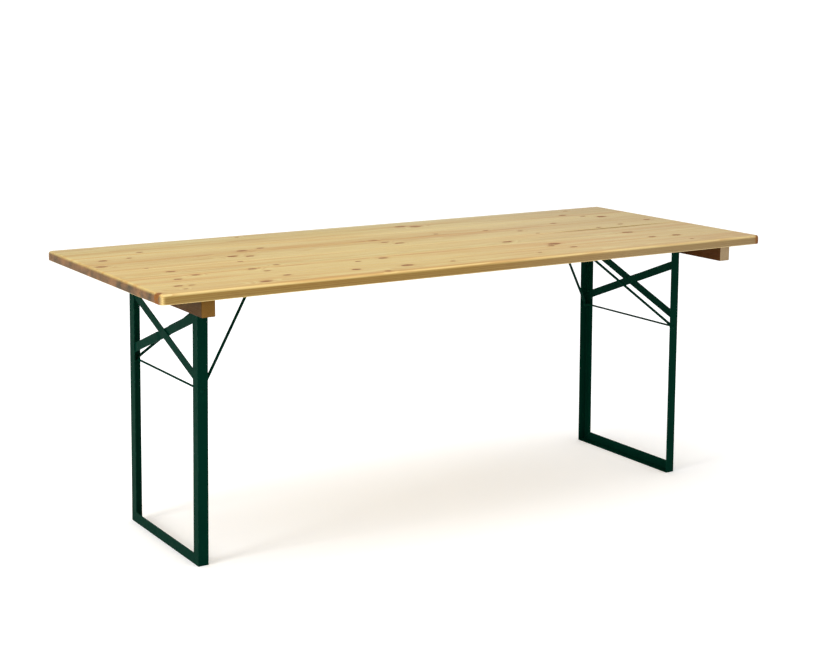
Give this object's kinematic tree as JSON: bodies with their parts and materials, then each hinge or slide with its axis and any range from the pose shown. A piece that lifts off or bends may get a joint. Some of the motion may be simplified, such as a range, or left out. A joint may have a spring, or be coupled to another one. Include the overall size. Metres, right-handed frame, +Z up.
{
  "type": "folding picnic table",
  "caption": "Long folding garden table: pine board top on two cross battens, with hinged steel angle leg frames held open by round-bar bows that snap into keepers under the top.",
  "frame": {"origin": "on the floor under the middle of the table top, with the table standing on its open legs", "axes": "+X along the table's length, +Y across it from the front edge to the rear edge, +Z up"},
  "size_m": [2, 0.8, 0.78],
  "materials": {
    "varnished_pine": "clear satin varnish",
    "batten_pine": "stained, matt",
    "green_paint": "semi-gloss dark green powder coat",
    "zinc_plated_steel": "zinc plated",
    "spring_steel": "blued"
  },
  "bodies": {
    "table_top": {"board_1": "varnished_pine", "board_2": "varnished_pine", "board_3": "varnished_pine", "board_4": "varnished_pine", "board_5": "varnished_pine", "board_6": "varnished_pine", "board_7": "varnished_pine", "batten_left": "batten_pine", "batten_right": "batten_pine", "batten_screws": "zinc_plated_steel", "hinge_bracket_front_left": "green_paint", "hinge_bracket_rear_left": "green_paint", "hinge_bracket_front_right": "green_paint", "hinge_bracket_rear_right": "green_paint", "hinge_screws": "zinc_plated_steel", "hinge_rivets": "green_paint", "hinge_washers": "zinc_plated_steel", "keeper_left": "green_paint", "keeper_right": "green_paint", "keeper_screws": "zinc_plated_steel", "leaf_rivets": "zinc_plated_steel"},
    "leg_left": {"upright_front_left": "green_paint", "upright_rear_left": "green_paint", "foot_bar_left": "green_paint", "brace_rising_left": "green_paint", "brace_falling_left": "green_paint", "axle_left": "green_paint"},
    "bow_left": {"bow_left": "green_paint"},
    "latch_left": {"latch_leaf_left": "spring_steel"},
    "leg_right": {"upright_front_right": "green_paint", "upright_rear_right": "green_paint", "foot_bar_right": "green_paint", "brace_rising_right": "green_paint", "brace_falling_right": "green_paint", "axle_right": "green_paint"},
    "bow_right": {"bow_right": "green_paint"},
    "latch_right": {"latch_leaf_right": "spring_steel"}
  },
  "joints": [
    {"name": "leg_left_fold", "type": "hinge", "parent": "table_top", "child": "leg_left", "pos_m": [-0.809, 0, 0.727], "axis": [0, -1, 0], "range_deg": [0, 91]},
    {"name": "bow_left_swing", "type": "hinge", "parent": "leg_left", "child": "bow_left", "pos_m": [-0.81331, 0, 0.48004], "axis": [0, 1, 0], "range_deg": [0, 137]},
    {"name": "latch_left_press", "type": "hinge", "parent": "table_top", "child": "latch_left", "pos_m": [-0.51, 0, 0.7492], "axis": [0, 1, 0], "range_deg": [0, 4], "stiffness_Nm_per_rad": 5},
    {"name": "leg_right_fold", "type": "hinge", "parent": "table_top", "child": "leg_right", "pos_m": [0.809, 0, 0.727], "axis": [0, 1, 0], "range_deg": [0, 91]},
    {"name": "bow_right_swing", "type": "hinge", "parent": "leg_right", "child": "bow_right", "pos_m": [0.81331, 0, 0.48004], "axis": [0, -1, 0], "range_deg": [0, 137]},
    {"name": "latch_right_press", "type": "hinge", "parent": "table_top", "child": "latch_right", "pos_m": [0.51, 0, 0.7492], "axis": [0, -1, 0], "range_deg": [0, 4], "stiffness_Nm_per_rad": 5}
  ],
  "couplings": [
    {"joint": "bow_left_swing", "follows": "leg_left_fold", "ratio": 1.5014},
    {"joint": "bow_right_swing", "follows": "leg_right_fold", "ratio": 1.5014}
  ]
}
